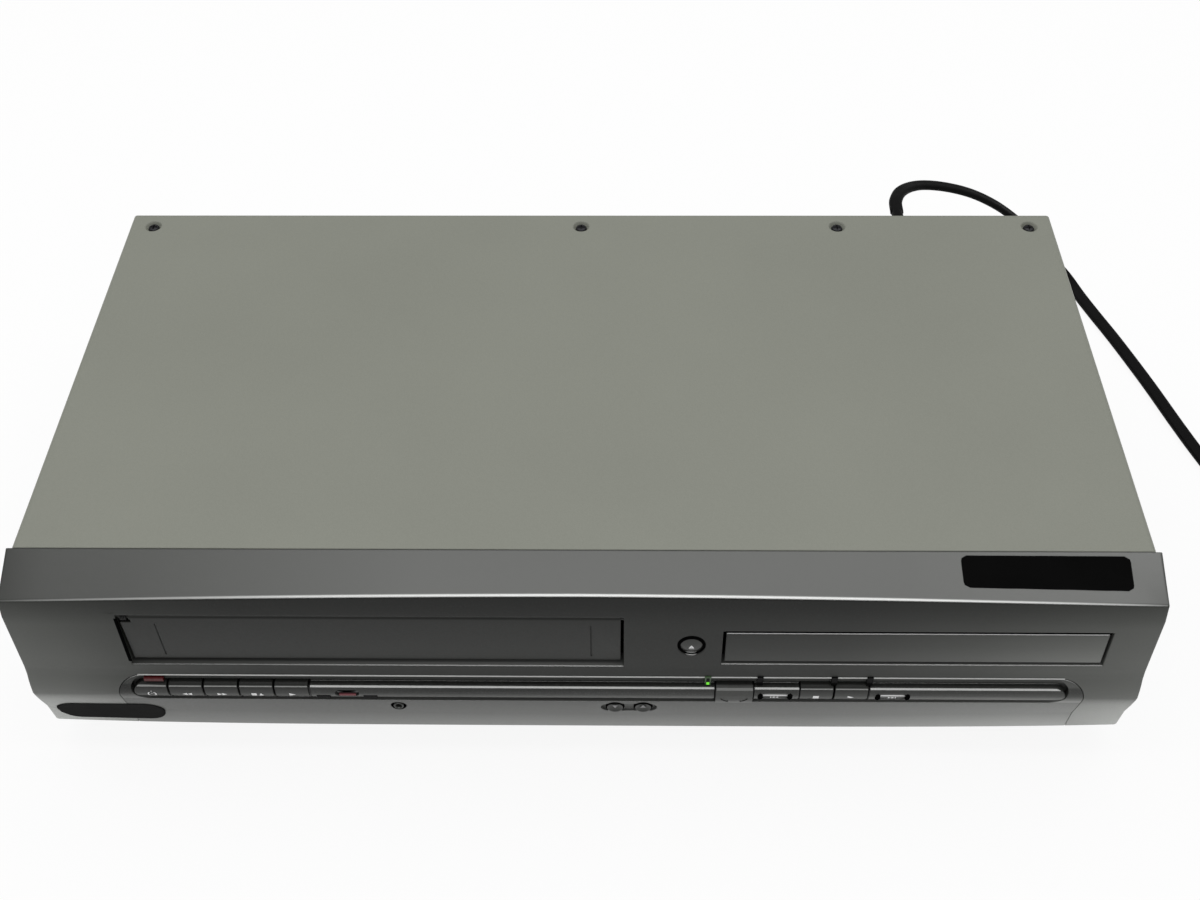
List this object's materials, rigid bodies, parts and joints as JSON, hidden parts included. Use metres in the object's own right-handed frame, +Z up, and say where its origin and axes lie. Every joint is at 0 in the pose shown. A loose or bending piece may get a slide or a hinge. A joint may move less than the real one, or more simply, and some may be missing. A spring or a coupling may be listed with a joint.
{
  "type": "dvd vcr combo player",
  "caption": "Low two-deck disc and tape player with sprung cassette door, sliding disc drawer, key strip, feet and mains cord.",
  "frame": {"origin": "centre of the feet's base plane under the case", "axes": "+X to the right across the front, +Y to the rear, +Z up"},
  "size_m": [0.6175, 0.3059, 0.099],
  "materials": {
    "pan_steel": "zinc coated sheet",
    "foot_rubber": "matt",
    "cover_paint": "fine matt texture paint",
    "screw_black": "black oxide",
    "bezel_plastic": "metallic dark grey paint",
    "panel_plastic": "metallic dark grey paint",
    "window_gloss": "gloss black filter",
    "lens_clear": "clear lens",
    "flap_plastic": "satin dark grey",
    "key_plastic": "satin dark grey",
    "record_red": "satin",
    "spring_steel": "zinc coated",
    "jack_plating": "nickel plating",
    "jack_black": "matt",
    "jack_rings": "coloured rings",
    "cord_rubber": "satin PVC",
    "board_green": "solder resist",
    "board_tan": "paper laminate",
    "drive_plastic": "moulded",
    "gear_white": "acetal",
    "drum_aluminium": "turned",
    "shaft_chrome": "ground steel",
    "roller_rubber": "matt"
  },
  "bodies": {
    "case": {"chassis": "pan_steel", "feet": "foot_rubber", "top_cover": "cover_paint", "case_screws": "screw_black", "front_bezel": "bezel_plastic", "control_panel": "panel_plastic", "sensor_window": "window_gloss", "status_lenses": "lens_clear", "flap_spring": "spring_steel", "back_panel": "pan_steel", "antenna_jacks": "jack_plating", "jack_block": "jack_black", "rca_jacks": "jack_rings", "strain_relief": "cord_rubber", "power_cord": "cord_rubber", "cord_coil": "cord_rubber", "cord_tie": "cord_rubber", "plug": "cord_rubber", "main_board": "board_green", "power_board": "board_tan", "front_board": "board_green", "loader_frame": "drive_plastic", "loader_bridge": "spring_steel", "tray_motor": "spring_steel", "deck_plate": "pan_steel", "drum_base": "drum_aluminium"},
    "flap": {"cassette_flap": "flap_plastic"},
    "power_key": {"power_button": "key_plastic"},
    "rewind_key": {"rewind_button": "key_plastic"},
    "fast_forward_key": {"fast_forward_button": "key_plastic"},
    "stop_eject_key": {"stop_eject_button": "key_plastic"},
    "vcr_play_key": {"vcr_play_button": "key_plastic"},
    "record_key": {"record_button": "record_red"},
    "output_selector_key": {"output_selector_button": "key_plastic"},
    "skip_back_key": {"skip_back_button": "key_plastic"},
    "dvd_stop_key": {"dvd_stop_button": "key_plastic"},
    "dvd_play_key": {"dvd_play_button": "key_plastic"},
    "skip_forward_key": {"skip_forward_button": "key_plastic"},
    "open_close_key": {"open_close_button": "key_plastic"},
    "channel_down_key": {"channel_down_button": "key_plastic"},
    "channel_up_key": {"channel_up_button": "key_plastic"},
    "drawer": {"disc_tray": "drive_plastic", "tray_door": "flap_plastic"},
    "drawer_gear": {"tray_gear": "gear_white"},
    "clamper": {"disc_clamper": "drive_plastic"},
    "traverse": {"traverse": "drive_plastic"},
    "turntable": {"turntable": "drive_plastic"},
    "sled": {"pickup_sled": "drive_plastic"},
    "sled_gear": {"sled_gear": "gear_white"},
    "lift": {"lift_frame": "spring_steel"},
    "holder": {"cassette_holder": "spring_steel"},
    "head_drum": {"head_drum": "drum_aluminium"},
    "capstan": {"capstan": "shaft_chrome"},
    "pinch_arm": {"pinch_arm": "shaft_chrome"},
    "pinch_roller": {"pinch_roller": "roller_rubber"},
    "supply_reel": {"supply_reel": "gear_white"},
    "takeup_reel": {"takeup_reel": "gear_white"},
    "supply_guide": {"supply_guide": "gear_white"},
    "takeup_guide": {"takeup_guide": "gear_white"}
  },
  "joints": [
    {"name": "flap_hinge", "type": "hinge", "parent": "case", "child": "flap", "pos_m": [-0.079, -0.11032, 0.08345], "axis": [1, 0, 0], "range_deg": [0, 90], "stiffness_Nm_per_rad": 0.002, "springref_deg": -11.46},
    {"name": "power_key_press", "type": "slide", "parent": "case", "child": "power_key", "axis": [0, 1, 0], "range_m": [0, 0.0008], "stiffness_N_per_m": 500, "springref_m": -0.0004},
    {"name": "rewind_key_press", "type": "slide", "parent": "case", "child": "rewind_key", "axis": [0, 1, 0], "range_m": [0, 0.0008], "stiffness_N_per_m": 500, "springref_m": -0.0004},
    {"name": "fast_forward_key_press", "type": "slide", "parent": "case", "child": "fast_forward_key", "axis": [0, 1, 0], "range_m": [0, 0.0008], "stiffness_N_per_m": 500, "springref_m": -0.0004},
    {"name": "stop_eject_key_press", "type": "slide", "parent": "case", "child": "stop_eject_key", "axis": [0, 1, 0], "range_m": [0, 0.0008], "stiffness_N_per_m": 500, "springref_m": -0.0004},
    {"name": "vcr_play_key_press", "type": "slide", "parent": "case", "child": "vcr_play_key", "axis": [0, 1, 0], "range_m": [0, 0.0008], "stiffness_N_per_m": 500, "springref_m": -0.0004},
    {"name": "record_key_press", "type": "slide", "parent": "case", "child": "record_key", "axis": [0, 1, 0], "range_m": [0, 0.0008], "stiffness_N_per_m": 500, "springref_m": -0.0004},
    {"name": "output_selector_key_press", "type": "slide", "parent": "case", "child": "output_selector_key", "axis": [0, 1, 0], "range_m": [0, 0.0008], "stiffness_N_per_m": 500, "springref_m": -0.0004},
    {"name": "skip_back_key_press", "type": "slide", "parent": "case", "child": "skip_back_key", "axis": [0, 1, 0], "range_m": [0, 0.0008], "stiffness_N_per_m": 500, "springref_m": -0.0004},
    {"name": "dvd_stop_key_press", "type": "slide", "parent": "case", "child": "dvd_stop_key", "axis": [0, 1, 0], "range_m": [0, 0.0008], "stiffness_N_per_m": 500, "springref_m": -0.0004},
    {"name": "dvd_play_key_press", "type": "slide", "parent": "case", "child": "dvd_play_key", "axis": [0, 1, 0], "range_m": [0, 0.0008], "stiffness_N_per_m": 500, "springref_m": -0.0004},
    {"name": "skip_forward_key_press", "type": "slide", "parent": "case", "child": "skip_forward_key", "axis": [0, 1, 0], "range_m": [0, 0.0008], "stiffness_N_per_m": 500, "springref_m": -0.0004},
    {"name": "open_close_key_press", "type": "slide", "parent": "case", "child": "open_close_key", "axis": [0, 1, 0], "range_m": [0, 0.0008], "stiffness_N_per_m": 500, "springref_m": -0.0004},
    {"name": "channel_down_key_press", "type": "slide", "parent": "case", "child": "channel_down_key", "axis": [0, 1, 0], "range_m": [0, 0.0008], "stiffness_N_per_m": 500, "springref_m": -0.0004},
    {"name": "channel_up_key_press", "type": "slide", "parent": "case", "child": "channel_up_key", "axis": [0, 1, 0], "range_m": [0, 0.0008], "stiffness_N_per_m": 500, "springref_m": -0.0004},
    {"name": "drawer_slide", "type": "slide", "parent": "case", "child": "drawer", "axis": [0, -1, 0], "range_m": [0, 0.13]},
    {"name": "drawer_gear_turn", "type": "hinge", "parent": "case", "child": "drawer_gear", "pos_m": [0.0808, -0.08549, 0.058], "axis": [0, 0, 1], "range_deg": [0, 621]},
    {"name": "clamper_spin", "type": "hinge", "parent": "case", "child": "clamper", "pos_m": [0.1268, -0.038, 0.072], "axis": [0, 0, 1], "continuous": true},
    {"name": "traverse_tilt", "type": "hinge", "parent": "case", "child": "traverse", "pos_m": [0.1268, 0.0313, 0.05], "axis": [1, 0, 0], "range_deg": [0, 5]},
    {"name": "turntable_spin", "type": "hinge", "parent": "traverse", "child": "turntable", "pos_m": [0.1268, -0.038, 0.066], "axis": [0, 0, 1], "continuous": true},
    {"name": "sled_slide", "type": "slide", "parent": "traverse", "child": "sled", "axis": [0, 1, 0], "range_m": [0, 0.026]},
    {"name": "sled_gear_turn", "type": "hinge", "parent": "traverse", "child": "sled_gear", "pos_m": [0.1524, -0.00431, 0.054], "axis": [0, 0, 1], "range_deg": [-267, 0]},
    {"name": "lift_lower", "type": "slide", "parent": "case", "child": "lift", "axis": [0, 0, -1], "range_m": [0, 0.02]},
    {"name": "holder_slide", "type": "slide", "parent": "lift", "child": "holder", "axis": [0, 1, 0], "range_m": [0, 0.062]},
    {"name": "head_drum_spin", "type": "hinge", "parent": "case", "child": "head_drum", "pos_m": [-0.079, 0.0673, 0.0296], "axis": [0, -0.0872, 0.9962], "continuous": true},
    {"name": "capstan_spin", "type": "hinge", "parent": "case", "child": "capstan", "pos_m": [-0.028, 0.0433, 0.03], "axis": [0, 0, 1], "continuous": true},
    {"name": "pinch_swing", "type": "hinge", "parent": "case", "child": "pinch_arm", "pos_m": [-0.004, 0.0493, 0.03], "axis": [0, 0, 1], "range_deg": [-45, 0]},
    {"name": "pinch_roller_spin", "type": "hinge", "parent": "pinch_arm", "child": "pinch_roller", "pos_m": [-0.008, 0.0273, 0.04], "axis": [0, 0, 1], "continuous": true},
    {"name": "supply_reel_spin", "type": "hinge", "parent": "case", "child": "supply_reel", "pos_m": [-0.125, -0.028, 0.035], "axis": [0, 0, 1], "continuous": true},
    {"name": "takeup_reel_spin", "type": "hinge", "parent": "case", "child": "takeup_reel", "pos_m": [-0.033, -0.028, 0.035], "axis": [0, 0, 1], "continuous": true},
    {"name": "supply_guide_run", "type": "slide", "parent": "case", "child": "supply_guide", "axis": [0, 1, 0], "range_m": [0, 0.04]},
    {"name": "takeup_guide_run", "type": "slide", "parent": "case", "child": "takeup_guide", "axis": [0, 1, 0], "range_m": [0, 0.04]}
  ],
  "couplings": [
    {"joint": "drawer_gear_turn", "follows": "drawer_slide", "rad_per_m": 83.333},
    {"joint": "sled_gear_turn", "follows": "sled_slide", "rad_per_m": -178.57},
    {"joint": "takeup_guide_run", "follows": "supply_guide_run", "ratio": 1}
  ]
}
